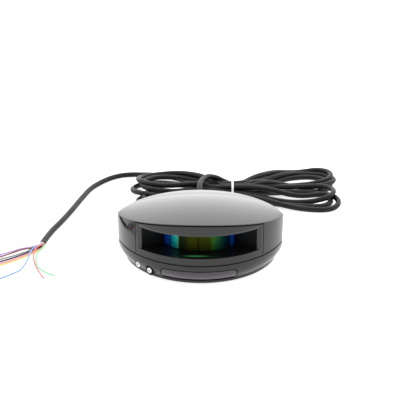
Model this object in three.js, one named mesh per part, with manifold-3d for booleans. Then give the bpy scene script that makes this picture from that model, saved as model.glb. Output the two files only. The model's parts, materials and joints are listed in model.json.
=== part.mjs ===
// Lidar scanner module: a lens-shaped housing on a swivelling base, with a spinning four-facet mirror
// behind a curved window, and a bundled cable with ten bare wires. Millimetres, +Z up, the front
// faces -Y, and the origin is the centre of the base plate's underside.

import * as THREE from "three";
import Module from "manifold-3d";
import { mergeVertices } from "three/addons/utils/BufferGeometryUtils.js";

const wasm = await Module();
wasm.setup();

// ---------- driving dimensions ----------

const GAP = 0.3; // clearance between neighbouring pieces
const MERGE = 1e-3; // distance under which two vertices are one

// Housing
const HALF_LENGTH = 62.5; // along X, to the tips
const HALF_WIDTH = 46.5; // along Y, to the middle of each long side
const TIP_RADIUS = 5;
const WALL = 2.5;
const PLATE = { halfLength: 52.8, halfWidth: 38.2, top: 3 };
const WELL = { halfLength: 54.9, halfWidth: 40.2 }; // hollow of the foot that the plate turns in
const HOUSING = { bottom: 0.9, foot: 3.9, floor: 5.4, top: 16.1 };
const FLARE = { length: 5.5, width: 4.1, power: 2.6 }; // how far the skirt draws in at its foot
const SIGNAL = { half: 27.9, halfHeight: 4.6, corner: 2.3, z: 7.8 };
const COVER_BOTTOM = 17;
const REAR_EDGE = 38.2; // height of the cover's rear edge
const CREST = 10.6; // how much higher the front crest is at the middle
const CROWN = 4; // bulge of the roof between its edges

// Front bezel and the scan opening
const BEZEL = { half: 46.3, depth: 2.9, lip: 0.9, low: 17.1 };
const OPENING = { half: 41.6, flare: 44.8, low: 22.8, high: 39.5 };
const RECESS = { low: 19.9, floor: 22, ceiling: 40.1, high: 41.1 };

// Scanner
const SPIN = { x: 0, y: -2 }; // axis of the mirror and its motor
const PANE = { outer: 31.4, inner: 30, halfAngle: 57 };
const MIRROR = { low: 22.5, high: 39.5, hub: 14.2, width: 29, thickness: 2, standoff: 0.7 };
const MIRROR_TILTS = [-1.8, -0.6, 0.6, 1.8]; // degrees, one scan curtain each
const MIRROR_YAW = 24; // degrees, how the mirror stands at rest
const SHAFT_RADIUS = 1.6;
const BEARING = { outer: 4.6, height: 2.8 };

// Swivel
const BOSS_RADIUS = 14;
const BOSS_TOP = 5.5;
const LOCK = { x: -45.4, z: 7.2, proud: 0.3, pocket: 2.5, boss: 3.6 };
const ADJUST = { x: -35.8, z: 6.8, proud: 1.2, pocket: 3.4, boss: 4.6 };
const TURN_SCREW = { head: 2.1, headLength: 2, shank: 1.25, reach: 14 };

// Cable
const CORD = 4.8; // jacket diameter
const CORD_Z = CORD / 2 + 0.05;
const WIRE = 1.2;
const WIRE_Z = WIRE / 2 + 0.15;
const EXIT = { y: 74.3, z: 11 };

// ---------- materials ----------

function material(color, roughness, metalness = 0) {
  return new THREE.MeshStandardMaterial({ color, roughness, metalness });
}

const GLOSS_BLACK = material(0x0b0b0c, 0.12);
const SATIN_BLACK = material(0x111112, 0.4);
const RECESS_BLACK = material(0x060607, 0.1);
const WINDOW_DARK = material(0x0a1420, 0.05);
const SIGNAL_PURPLE = material(0x2a2230, 0.15);
const RUBBER = material(0x151515, 0.7);
const STEEL = material(0x9a9da0, 0.3, 1);
const CHROME = material(0xd8dadd, 0.12, 1);
const MIRROR_FACE = material(0xe8ecef, 0.03, 1);
const ALUMINIUM = material(0xa9acb0, 0.35, 1);
const COPPER = material(0xa8673a, 0.35, 1);
const BOARD = material(0x1c5a34, 0.5);
const IVORY = material(0xe6e1d3, 0.5);
const GLASS = material(0xbfd6d9, 0.05);
const JACKET = material(0x141415, 0.45);
const TIE = material(0xf1f1ee, 0.5);

// ---------- closed solids from three.js geometry ----------

function signedVolume(points, faces) {
  const corner = (i) => new THREE.Vector3().fromArray(points, 3 * i);
  let total = 0;
  for (let i = 0; i < faces.length; i += 3) {
    const across = corner(faces[i + 1]).cross(corner(faces[i + 2]));
    total += corner(faces[i]).dot(across) / 6;
  }
  return total;
}

function solid(geometry) {
  const flat = geometry.index ? geometry.toNonIndexed() : geometry;
  const bare = new THREE.BufferGeometry();
  bare.setAttribute("position", flat.getAttribute("position"));
  const merged = mergeVertices(bare, MERGE);
  const points = new Float32Array(merged.getAttribute("position").array);
  const faces = [];
  for (let i = 0; i < merged.index.count; i += 3) {
    const [a, b, c] = merged.index.array.slice(i, i + 3);
    if (a !== b && b !== c && c !== a) faces.push(a, b, c);
  }
  if (signedVolume(points, faces) < 0) faces.reverse();
  const triVerts = new Uint32Array(faces);
  return new wasm.Manifold(new wasm.Mesh({ numProp: 3, vertProperties: points, triVerts }));
}

function geometryOf(made) {
  const mesh = made.getMesh();
  const geometry = new THREE.BufferGeometry();
  geometry.setAttribute("position", new THREE.BufferAttribute(mesh.vertProperties, 3));
  geometry.setIndex(new THREE.BufferAttribute(mesh.triVerts, 1));
  return geometry;
}

function join(...solids) {
  return solids.reduce((whole, next) => whole.add(next));
}

function cut(whole, ...tools) {
  return tools.reduce((left, tool) => left.subtract(tool), whole);
}

// ---------- simple shapes, each standing on the height that it is given ----------

function block(xs, ys, zs) {
  const box = new THREE.BoxGeometry(xs[1] - xs[0], ys[1] - ys[0], zs[1] - zs[0]);
  box.translate((xs[0] + xs[1]) / 2, (ys[0] + ys[1]) / 2, (zs[0] + zs[1]) / 2);
  return solid(box);
}

function upright(geometry, x, y) {
  return geometry.rotateX(Math.PI / 2).translate(x, y, 0);
}

function disc(radius, low, high, x = 0, y = 0, sides = 24) {
  const rod = new THREE.CylinderGeometry(radius, radius, high - low, sides);
  rod.translate(0, (low + high) / 2, 0);
  return solid(upright(rod, x, y));
}

// A closed outline of [radius, height] points turned about a vertical axis.
function turned(profile, x = 0, y = 0, sides = 24) {
  const points = profile.map(([radius, height]) => new THREE.Vector2(radius, height));
  return solid(upright(new THREE.LatheGeometry(points, sides), x, y));
}

function ring(inner, outer, low, high, x = 0, y = 0, sides = 24) {
  const profile = [[inner, low], [outer, low], [outer, high], [inner, high], [inner, low]];
  return turned(profile, x, y, sides);
}

// The same turned outline, its heights running from a point along a direction.
function turnedAlong(profile, origin, direction, sides = 16) {
  const points = profile.map(([radius, height]) => new THREE.Vector2(radius, height));
  const lathe = new THREE.LatheGeometry(points, sides);
  const turn = new THREE.Quaternion();
  turn.setFromUnitVectors(new THREE.Vector3(0, 1, 0), direction);
  lathe.applyQuaternion(turn).translate(origin.x, origin.y, origin.z);
  return solid(lathe);
}

function rodAlong(radius, from, to, origin, direction, sides = 16) {
  const profile = [[0, from], [radius, from], [radius, to], [0, to]];
  return turnedAlong(profile, origin, direction, sides);
}

// A flat outline in XY raised from one height to another.
function raised(shape, low, high, curveSegments = 12) {
  const settings = { depth: high - low, bevelEnabled: false, curveSegments };
  return solid(new THREE.ExtrudeGeometry(shape, settings).translate(0, 0, low));
}

function roundedRectangle(halfX, halfY, radius, x = 0, y = 0) {
  const shape = new THREE.Shape();
  const right = x + halfX - radius;
  const left = x - halfX + radius;
  const top = y + halfY - radius;
  const bottom = y - halfY + radius;
  shape.moveTo(left, bottom - radius);
  shape.absarc(right, bottom, radius, -Math.PI / 2, 0);
  shape.absarc(right, top, radius, 0, Math.PI / 2);
  shape.absarc(left, top, radius, Math.PI / 2, Math.PI);
  shape.absarc(left, bottom, radius, Math.PI, 1.5 * Math.PI);
  return shape;
}

// Part of a flat ring, between two radii and two angles in degrees.
function sector(inner, outer, fromDeg, toDeg, x = 0, y = 0) {
  const from = THREE.MathUtils.degToRad(fromDeg);
  const to = THREE.MathUtils.degToRad(toDeg);
  const shape = new THREE.Shape();
  shape.absarc(x, y, outer, from, to, false);
  shape.absarc(x, y, inner, to, from, true);
  return shape;
}

// ---------- the lens outline: two long arcs that meet in rounded tips ----------

function lens(halfLength, halfWidth, tipRadius) {
  const run = halfLength - tipRadius;
  const sum = run ** 2 + halfWidth ** 2 - tipRadius ** 2;
  const radius = sum / (2 * (halfWidth - tipRadius));
  const centre = radius - halfWidth;
  const joint = (run * radius) / (radius - tipRadius);
  const reach = (x) => {
    const a = Math.min(Math.abs(x), halfLength);
    if (a <= joint) return Math.sqrt(radius ** 2 - a ** 2) - centre;
    return Math.sqrt(Math.max(0, tipRadius ** 2 - (a - run) ** 2));
  };
  return { halfLength, radius, centre, reach };
}

const OUTLINE = lens(HALF_LENGTH, HALF_WIDTH, TIP_RADIUS);

function inset(distance) {
  return lens(HALF_LENGTH - distance, HALF_WIDTH - distance, Math.max(1, TIP_RADIUS - distance));
}

// A body whose level rings are lens outlines, with a flat foot and a flat or crowned roof.
function lensBody(rings, crown = null, stations = 22, across = 1) {
  const corners = [];
  const quad = (a, b, c, d) => corners.push(...a, ...b, ...c, ...a, ...c, ...d);
  const last = rings.length - 1;
  const point = (k, i, share) => {
    const { outline, z } = rings[k];
    const x = -outline.halfLength * Math.cos((Math.PI * i) / stations);
    const y = outline.reach(x) * (2 * share - 1);
    return [x, y, crown && k === last ? crown(x, y) : z];
  };
  for (let i = 0; i < stations; i++) {
    for (let k = 0; k < last; k++) {
      quad(point(k, i, 0), point(k, i + 1, 0), point(k + 1, i + 1, 0), point(k + 1, i, 0));
      quad(point(k, i + 1, 1), point(k, i, 1), point(k + 1, i, 1), point(k + 1, i + 1, 1));
    }
    quad(point(0, i, 0), point(0, i, 1), point(0, i + 1, 1), point(0, i + 1, 0));
    for (let j = 0; j < across; j++) {
      const near = j / across;
      const far = (j + 1) / across;
      quad(point(last, i, near), point(last, i + 1, near), point(last, i + 1, far), point(last, i, far));
    }
  }
  const geometry = new THREE.BufferGeometry();
  geometry.setAttribute("position", new THREE.Float32BufferAttribute(corners, 3));
  return solid(geometry);
}

function lensPrism(outline, low, high) {
  return lensBody([{ outline, z: low }, { outline, z: high }]);
}

// Height of the roof: it falls from the front crest to the level rear edge, with a crown between.
function roof(x, y) {
  const taper = 1 - (x / HALF_LENGTH) ** 2;
  const reach = OUTLINE.reach(x);
  const t = reach > 0 ? THREE.MathUtils.clamp((y + reach) / (2 * reach), 0, 1) : 0.5;
  return REAR_EDGE + CREST * taper * (1 - t) + 4 * CROWN * taper * t * (1 - t);
}

// The skirt's outline at a height: full size at the top, drawn in by a curve down to its upright foot.
function skirt(z, distance = 0) {
  const share = THREE.MathUtils.clamp((HOUSING.top - z) / (HOUSING.top - HOUSING.foot), 0, 1);
  const draw = share ** FLARE.power;
  const halfLength = HALF_LENGTH - FLARE.length * draw - distance;
  const halfWidth = HALF_WIDTH - FLARE.width * draw - distance;
  return lens(halfLength, halfWidth, TIP_RADIUS);
}

function skirtBody(distance, low, high) {
  const levels = [HOUSING.foot, 4.9, 6.8, 9.4, HOUSING.top].filter((z) => z > low && z < high);
  return lensBody([low, ...levels, high].map((z) => ({ outline: skirt(z, distance), z })));
}

// ---------- base: plate, swivel boss and retainer ----------

const HOUSING_SCREWS = [[46, 9], [46, -9], [-46, 9], [-46, -9]];
const RETAINER_SCREW_RADIUS = 12;

// Where a turned screw leaves the skirt, and the outward direction there.
function wallPoint({ x, z }) {
  const outline = skirt(z);
  const point = new THREE.Vector3(x, -outline.reach(x), z);
  const outward = new THREE.Vector3(x, point.y - outline.centre, 0).normalize();
  return { point, outward };
}

function retainerScrewPlace(index) {
  const angle = Math.PI / 2 + (index * 2 * Math.PI) / 3;
  return [RETAINER_SCREW_RADIUS * Math.cos(angle), RETAINER_SCREW_RADIUS * Math.sin(angle)];
}

// The block that the adjuster screw bears on.
function adjusterLug() {
  const { point, outward } = wallPoint(ADJUST);
  const facing = Math.atan2(outward.y, outward.x);
  const lug = new THREE.BoxGeometry(4, 9, 6.2).rotateZ(facing);
  const middle = point.clone().addScaledVector(outward, -TURN_SCREW.reach - 3.9);
  return solid(lug.translate(middle.x, middle.y, 5.9));
}

function basePlate() {
  const { halfLength, halfWidth, top } = PLATE;
  const edge = 0.7; // chamfer under the plate
  const full = lens(halfLength, halfWidth, 4.6);
  const foot = lens(halfLength - edge, halfWidth - edge, 4.2);
  const plate = lensBody([{ outline: foot, z: 0 }, { outline: full, z: edge }, { outline: full, z: top }]);
  const boss = disc(BOSS_RADIUS, 2.5, BOSS_TOP, 0, 0, 32);
  const lockRib = raised(sector(34.2, 36.6, 196, 210.5), 2.5, 9, 6);
  const slots = [-38, 38].map((x) => raised(roundedRectangle(2.3, 7, 2.2, x, 6), -1, 9, 5));
  const cableHole = disc(8, -1, 9, 0, 0, 32);
  const threads = [0, 1, 2].map((i) => disc(1.2, 1, 9, ...retainerScrewPlace(i), 8));
  return cut(join(plate, boss, lockRib, adjusterLug()), ...slots, cableHole, ...threads);
}

function swivelRetainer() {
  const washer = ring(8.6, 16, BOSS_TOP + GAP, BOSS_TOP + 1.5, 0, 0, 28);
  const holes = [0, 1, 2].map((i) => disc(1.3, 4, 9, ...retainerScrewPlace(i), 8));
  return cut(washer, ...holes);
}

function retainerScrew(index) {
  const seat = BOSS_TOP + 1.6;
  const profile = [[0, 1.6], [0.9, 1.6], [0.9, seat], [1.9, seat], [1.9, seat + 0.5], [1.4, seat + 0.8]];
  return turned([...profile, [0, seat + 0.8]], ...retainerScrewPlace(index), 12);
}

// ---------- bottom housing ----------

// The opening for the signal window, no deeper than the wall.
function signalOpening(margin) {
  const { half, halfHeight, corner, z } = SIGNAL;
  const shape = roundedRectangle(half + margin, halfHeight + margin, corner + margin, 0, z);
  const settings = { depth: 20, bevelEnabled: false, curveSegments: 4 };
  const prism = new THREE.ExtrudeGeometry(shape, settings).rotateX(Math.PI / 2);
  const wall = cut(skirtBody(-1, 1, 16), skirtBody(WALL + 0.2, 0, 17));
  return solid(prism.translate(0, -32, 0)).intersect(wall);
}

function turnedScrewHole(place) {
  const { point, outward } = wallPoint(place);
  const shank = rodAlong(TURN_SCREW.shank + GAP, -20, 2, point, outward);
  const head = rodAlong(place.pocket, -TURN_SCREW.headLength, 6, point, outward);
  return join(shank, head);
}

function turnedScrewBoss(place) {
  const { point, outward } = wallPoint(place);
  const boss = rodAlong(place.boss, -6, -0.4, point, outward);
  return boss.intersect(block([-60, -20], [-50, -10], [4, 14]));
}

function bottomHousing() {
  const well = lensPrism(lens(WELL.halfLength, WELL.halfWidth, 4.6), 0, HOUSING.foot);
  const shell = cut(skirtBody(0, HOUSING.bottom, HOUSING.top), skirtBody(WALL, HOUSING.floor, 20), well);
  const pillars = HOUSING_SCREWS.map(([x, y]) => disc(4.4, 4.5, 17.3, x, y, 10));
  const feet = [-90, 30, 150].map((deg) => {
    const angle = THREE.MathUtils.degToRad(deg);
    return disc(1.2, 5, 7.7, SPIN.x + 19.3 * Math.cos(angle), SPIN.y + 19.3 * Math.sin(angle), 6);
  });
  const bosses = [turnedScrewBoss(LOCK), turnedScrewBoss(ADJUST)];
  const screwHoles = HOUSING_SCREWS.map(([x, y]) => disc(1.4 + GAP, 0, 20, x, y, 8));
  const screwSeats = HOUSING_SCREWS.map(([x, y]) => disc(3.3, 0, 6.2, x, y, 10));
  const swivel = disc(BOSS_RADIUS + 0.4, 0, 8, 0, 0, 32);
  const lugSlot = raised(sector(26.4, 38.8, 188, 234), 0, 10, 8);
  const glandHole = rodAlong(4.2 + GAP, 36, 60, new THREE.Vector3(0, 0, EXIT.z), new THREE.Vector3(0, 1, 0));
  return cut(
    join(shell, ...pillars, ...feet, ...bosses),
    ...screwHoles,
    ...screwSeats,
    swivel,
    lugSlot,
    glandHole,
    signalOpening(0),
    turnedScrewHole(LOCK),
    turnedScrewHole(ADJUST),
  );
}

function signalWindow() {
  const sheet = cut(skirtBody(0.2, 2, 15), skirtBody(1.9, 1, 16));
  return sheet.intersect(signalOpening(-GAP));
}

function ledBoard() {
  const board = block([-24, 24], [-37, -35.8], [6.4, 14.4]);
  const lights = [-20, -10, 0, 10, 20].map((x) => block([x - 1.5, x + 1.5], [-38, -36.5], [9, 11]));
  return join(board, ...lights);
}

function housingSeal() {
  const low = HOUSING.top + 0.05;
  const high = COVER_BOTTOM - 0.05;
  return cut(lensPrism(inset(0.9), low, high), lensPrism(inset(2.4), 10, 20));
}

// ---------- top cover, bezel, scan recess and window ----------

function frontWall(depth) {
  return disc(OUTLINE.radius - depth, 0, 60, 0, OUTLINE.centre, 80);
}

function topCover() {
  const across = 4;
  const outer = lensBody([{ outline: OUTLINE, z: COVER_BOTTOM }, { outline: OUTLINE }], roof, 26, across);
  const ceiling = (x, y) => roof(x, y) - WALL;
  const inner = inset(WALL);
  const hollow = lensBody([{ outline: inner, z: 10 }, { outline: inner }], ceiling, 26, across);
  const wide = lens(HALF_LENGTH + 1, HALF_WIDTH + 1, TIP_RADIUS + 1);
  const underLip = (x, y) => roof(x, y) - BEZEL.lip;
  const pocket = lensBody([{ outline: wide, z: 10 }, { outline: wide }], underLip, 26, across)
    .intersect(block([-BEZEL.half - GAP, BEZEL.half + GAP], [-60, -10], [0, 60]))
    .subtract(frontWall(BEZEL.depth + GAP));
  const posts = HOUSING_SCREWS.map(([x, y]) => disc(3.8, 19.9, 41, x, y, 10));
  const threads = HOUSING_SCREWS.map(([x, y]) => disc(1.4 + GAP, 15, 30, x, y, 8));
  return cut(join(cut(outer, hollow, pocket), ...posts), ...threads);
}

// The opening's sides widen towards the front.
function scanOpening() {
  const { half, flare, low, high } = OPENING;
  const front = OUTLINE.centre - Math.sqrt(OUTLINE.radius ** 2 - flare ** 2);
  const right = [[flare, -60], [flare, front], [half, front + 1], [half, 0]];
  const left = right.map(([x, y]) => [-x, y]).reverse();
  const plan = new THREE.Shape([...right, ...left].map(([x, y]) => new THREE.Vector2(x, y)));
  return raised(plan, low, high);
}

function frontBezel() {
  const top = (x, y) => roof(x, y) - BEZEL.lip - GAP;
  return lensBody([{ outline: OUTLINE, z: BEZEL.low }, { outline: OUTLINE }], top, 26, 4)
    .intersect(block([-BEZEL.half, BEZEL.half], [-60, -10], [0, 60]))
    .subtract(frontWall(BEZEL.depth))
    .subtract(scanOpening());
}

// Plan of the recess: the bezel's inner arc in front, drawn in at the sides to the pane's ends.
function recessPlan(side, end) {
  const radius = OUTLINE.radius - BEZEL.depth - GAP;
  const angle = Math.asin(side / radius);
  const shape = new THREE.Shape();
  shape.absarc(0, OUTLINE.centre, radius, -Math.PI / 2 - angle, -Math.PI / 2 + angle, false);
  shape.lineTo(end.x, end.y);
  shape.lineTo(-end.x, end.y);
  return shape;
}

function scanRecess() {
  const end = { x: 29, y: -17.2 };
  const hollowEnd = { x: 27.2, y: -17.9 };
  const { half } = OPENING;
  const sideEnd = -27.2; // where the hollow starts to narrow
  const whole = raised(recessPlan(half + 2, end), RECESS.low, RECESS.high, 16);
  const front = new THREE.Shape([
    new THREE.Vector2(-half, -60),
    new THREE.Vector2(half, -60),
    new THREE.Vector2(half, sideEnd),
    new THREE.Vector2(hollowEnd.x, hollowEnd.y),
    new THREE.Vector2(-hollowEnd.x, hollowEnd.y),
    new THREE.Vector2(-half, sideEnd),
  ]);
  const hollow = join(
    raised(recessPlan(half, hollowEnd), RECESS.floor, RECESS.ceiling, 16),
    raised(front, RECESS.floor, RECESS.ceiling),
  );
  return cut(whole, hollow, disc(PANE.inner - 1, 0, 60, SPIN.x, SPIN.y, 64));
}

function laserWindow() {
  const { inner, outer, halfAngle } = PANE;
  const plan = sector(inner, outer, -90 - halfAngle, -90 + halfAngle, SPIN.x, SPIN.y);
  return raised(plan, RECESS.floor + GAP, RECESS.ceiling - GAP, 20);
}

// ---------- motor and mirror ----------

function turnedAtSpin(profile, sides = 28) {
  return turned(profile, SPIN.x, SPIN.y, sides);
}

function motorBoard() {
  const board = disc(21, 8, 9.2, SPIN.x, SPIN.y, 36);
  return cut(board, disc(3, 7, 10, SPIN.x, SPIN.y, 16));
}

function motorStator() {
  const tube = [[4.9, 9.5], [9, 9.5], [9, 10.6], [15, 10.6], [15, 15.4], [6.6, 15.4], [6.6, 16.9],
    [4.9, 16.9]];
  const body = turnedAtSpin([...tube, tube[0]], 27);
  const slots = [];
  for (let i = 0; i < 9; i++) {
    const slot = new THREE.BoxGeometry(8, 1.4, 8).translate(12, 0, 13).rotateZ((i * 2 * Math.PI) / 9);
    slots.push(solid(slot.translate(SPIN.x, SPIN.y, 0)));
  }
  return cut(body, ...slots);
}

function bearing(low) {
  return ring(SHAFT_RADIUS + GAP, BEARING.outer, low, low + BEARING.height, SPIN.x, SPIN.y, 20);
}

function motorRotor() {
  const bore = SHAFT_RADIUS + GAP;
  const cup = [[bore, 17.8], [16.7, 17.8], [16.7, 10], [18, 10], [18, 18.4], [17.4, 19], [bore, 19]];
  return turnedAtSpin([...cup, cup[0]], 28);
}

function motorShaft() {
  const r = SHAFT_RADIUS;
  return turnedAtSpin([[0, 9.4], [r - 0.3, 9.4], [r, 9.7], [r, 42.7], [r - 0.3, 43], [0, 43]], 16);
}

function mirrorHub() {
  const { low, high, hub } = MIRROR;
  const core = new THREE.ExtrudeGeometry(roundedRectangle(hub, hub, 2), {
    depth: high - low,
    bevelEnabled: false,
    curveSegments: 3,
  });
  core.rotateZ(THREE.MathUtils.degToRad(MIRROR_YAW)).translate(SPIN.x, SPIN.y, low);
  const collars = join(disc(8, 19.3, low + 1, SPIN.x, SPIN.y), disc(6, high - 1, 41, SPIN.x, SPIN.y));
  const bore = disc(SHAFT_RADIUS + GAP, 0, 60, SPIN.x, SPIN.y, 16);
  return cut(join(solid(core), collars), bore);
}

function mirrorFacet(index) {
  const { low, high, hub, width, thickness, standoff } = MIRROR;
  const plate = new THREE.BoxGeometry(thickness, width, high - low);
  plate.rotateY(THREE.MathUtils.degToRad(MIRROR_TILTS[index]));
  plate.translate(hub + standoff + thickness / 2, 0, (low + high) / 2);
  plate.rotateZ(THREE.MathUtils.degToRad(MIRROR_YAW + 90 * index));
  return solid(plate.translate(SPIN.x, SPIN.y, 0));
}

function encoderDisc() {
  const plate = ring(SHAFT_RADIUS + GAP, 11, 41.3, 42.1, SPIN.x, SPIN.y, 32);
  const marks = [];
  for (let i = 0; i < 8; i++) {
    const mark = new THREE.BoxGeometry(2.4, 1.6, 4).translate(10.4, 0, 42).rotateZ((i * Math.PI) / 4);
    marks.push(solid(mark.translate(SPIN.x, SPIN.y, 0)));
  }
  return cut(plate, ...marks);
}

// ---------- optics and electronics ----------

const RECEIVER = { radius: 5.6, z: 27.5, from: 29, to: 39 };
const EMITTER = { radius: 2.6, z: 37.2, from: 30, to: 39 };
const ALONG_X = new THREE.Vector3(1, 0, 0);

function opticsBracket() {
  const plate = block([33, 36], [-6.4, 6.4], [19.9, 40.7]);
  const foot = block([31, 38], [-6.4, 6.4], [19.9, 21.3]);
  const holes = [RECEIVER, EMITTER].map(({ radius, z }) =>
    rodAlong(radius + GAP, 20, 60, new THREE.Vector3(0, 0, z), ALONG_X));
  return cut(join(plate, foot), ...holes);
}

function barrel({ radius, z, from, to }) {
  const inner = radius - 0.9;
  const profile = [[inner, from], [radius, from], [radius, to], [inner, to], [inner, from]];
  return turnedAlong(profile, new THREE.Vector3(0, 0, z), ALONG_X);
}

function barrelLens({ radius, z, from }) {
  const r = radius - 0.9 - GAP;
  const profile = [[0, from + 0.6], [r * 0.6, from + 0.9], [r, from + 1.6], [r, from + 3], [0, from + 3]];
  return turnedAlong(profile, new THREE.Vector3(0, 0, z), ALONG_X);
}

function sensorBoard({ radius, z, to }) {
  const half = radius + 1;
  return block([to + GAP, to + 1.5], [-half, half], [z - half + 0.6, z + half - 0.6]);
}

function opticalChassis() {
  const plate = lensPrism(inset(3.9), 17.6, 19.6);
  const holes = HOUSING_SCREWS.map(([x, y]) => disc(1.4 + GAP, 15, 22, x, y, 8));
  const harness = raised(roundedRectangle(10, 3, 2, 0, 36), 15, 22, 4);
  return cut(plate, disc(19.4, 15, 22, SPIN.x, SPIN.y, 28), harness, ...holes);
}

function mainBoard() {
  const board = block([-26, 26], [30, 31.6], [20.2, 36.8]);
  const chips = [[-16, 5, 5], [-2, 4, 4], [11, 3.5, 5], [20, 2.5, 3]];
  const packages = chips.map(([x, half, tall]) =>
    block([x - half, x + half], [28.6, 30.5], [28.5 - tall, 28.5 + tall]));
  return join(board, ...packages);
}

function boardConnector() {
  const shell = block([-9, 9], [31.9, 37], [21, 27]);
  return cut(shell, block([-8, 8], [33.4, 40], [22, 26]));
}

// ---------- fasteners ----------

function housingScrew([x, y]) {
  const profile = [[0, 4.2], [2.6, 4.2], [2.9, 4.5], [2.9, 5.9], [1.4, 5.9], [1.4, 27.4], [0.8, 28], [0, 28]];
  const socket = disc(1.3, 0, 5.2, x, y, 6);
  return cut(turned(profile, x, y, 14), socket);
}

function turnScrew(place) {
  const { point, outward } = wallPoint(place);
  const { head, headLength, shank, reach } = TURN_SCREW;
  const seat = -headLength + GAP;
  const top = place.proud;
  const profile = [[0, -reach], [shank, -reach + 0.4], [shank, seat], [head, seat], [head, top - 0.4],
    [head - 0.4, top], [0, top]];
  const body = turnedAlong(profile, point, outward, 14);
  return cut(body, rodAlong(1.1, top - 1.2, top + 2, point, outward, 6));
}

// ---------- cable gland, strain relief and cable ----------

const ALONG_Y = new THREE.Vector3(0, 1, 0);
const GLAND_AXIS = new THREE.Vector3(0, 0, EXIT.z);

function glandBody() {
  const profile = [[0, 37.6], [4.2, 37.6], [4.2, 46.8], [5.9, 46.8], [5.9, 50.4], [5.2, 51], [4.6, 54],
    [0, 54]];
  return turnedAlong(profile, GLAND_AXIS, ALONG_Y, 18);
}

function glandLockNut() {
  const profile = [[4.5, 38.4], [5.3, 38.4], [5.3, 41], [4.5, 41], [4.5, 38.4]];
  return turnedAlong(profile, GLAND_AXIS, ALONG_Y, 12);
}

function strainRelief() {
  const profile = [[0, 54.3], [4, 54.3], [3.9, 58], [2.9, EXIT.y - 0.3], [0, EXIT.y - 0.3]];
  return turnedAlong(profile, GLAND_AXIS, ALONG_Y, 20);
}

function tube(points, diameter, steps, sides = 8) {
  const path = new THREE.CatmullRomCurve3(points.map((p) => new THREE.Vector3(...p)), false, "centripetal");
  const section = [];
  for (let i = 0; i < sides; i++) {
    const angle = (2 * Math.PI * i) / sides;
    section.push(new THREE.Vector2(Math.cos(angle), Math.sin(angle)).multiplyScalar(diameter / 2));
  }
  const settings = { steps, extrudePath: path, bevelEnabled: false };
  return solid(new THREE.ExtrudeGeometry(new THREE.Shape(section), settings));
}

// The bundle, the tail and the wires lie turned about the module by this angle.
const CABLE_TURN = THREE.MathUtils.degToRad(1.5);

function swung([x, y, ...height]) {
  const along = Math.cos(CABLE_TURN);
  const aside = Math.sin(CABLE_TURN);
  return [x * along - y * aside, x * aside + y * along, ...height];
}

// From the strain relief, up and over the tied bundle.
const LEAD_ROUTE = [
  [0, EXIT.y, EXIT.z],
  [0, 80, 11.6],
  [-1.5, 88, 13.5],
  [-3, 96, 17],
  [-3, 107, 18.8],
  [-1.5, 117, 18.9],
  [1.5, 125.5, 18.5],
  [6, 132, 18],
];

// From the bundle's far left corner to the stripped end.
const TAIL_ROUTE = [
  [-57.5, 173.4, CORD_Z],
  [-66, 173.6, CORD_Z],
  [-77, 170.5, CORD_Z],
  [-86, 163, CORD_Z],
  [-93.5, 152.5, CORD_Z],
  [-100.5, 138, CORD_Z],
  [-106, 115, CORD_Z],
  [-111, 89, CORD_Z],
  [-116, 66, CORD_Z],
  [-121, 46.5, CORD_Z],
  [-124, 30, CORD_Z],
  [-125.2, 20.6, CORD_Z],
];

// Outline of the folded cable, drawn in where the tie holds it.
const HANK_OUTLINE = [
  [29, 106.5],
  [50, 97],
  [72, 84],
  [98, 81],
  [116, 88],
  [124, 112],
  [124.5, 142],
  [121, 166],
  [104, 178],
  [84, 176],
  [58, 158],
  [29, 133.5],
  [4, 147],
  [-20, 164],
  [-44, 173],
  [-54.8, 168],
  [-63, 146],
  [-65, 116],
  [-55, 96],
  [-36, 86],
  [-10, 96],
];
const HANK = { low: 0.3, high: 15.2 };
const TIE_X = [25, 26.6];
const TIE_MIDDLE = { y: 120.6, z: 8.2 };

function hankPlan() {
  const points = HANK_OUTLINE.map(([x, y]) => new THREE.Vector3(...swung([x, y, 0])));
  const curve = new THREE.CatmullRomCurve3(points, true, "centripetal");
  const samples = curve.getSpacedPoints(48).slice(0, -1);
  return new THREE.Shape(samples.map((p) => new THREE.Vector2(p.x, p.y)));
}

// A plan outline in YZ carried along X.
function raisedAlongX(shape, [from, to]) {
  const settings = { depth: to - from, bevelEnabled: false, curveSegments: 5 };
  const made = new THREE.ExtrudeGeometry(shape, settings);
  made.rotateX(Math.PI / 2).rotateZ(Math.PI / 2).translate(from, 0, 0);
  return solid(made);
}

function tieBand(halfY, halfZ) {
  return roundedRectangle(halfY, halfZ, 3.5, TIE_MIDDLE.y, TIE_MIDDLE.z);
}

function cableHank() {
  const groove = raisedAlongX(tieBand(30, 30), [TIE_X[0] - GAP, TIE_X[1] + GAP]);
  const kept = raisedAlongX(tieBand(12.4, 6.4), [TIE_X[0] - 1, TIE_X[1] + 1]);
  return cut(raised(hankPlan(), HANK.low, HANK.high), groove.subtract(kept));
}

function cableTie() {
  const band = raisedAlongX(tieBand(13.7, 7.7), TIE_X);
  return band.subtract(raisedAlongX(tieBand(12.7, 6.7), [TIE_X[0] - 2, TIE_X[1] + 2]));
}

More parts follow.
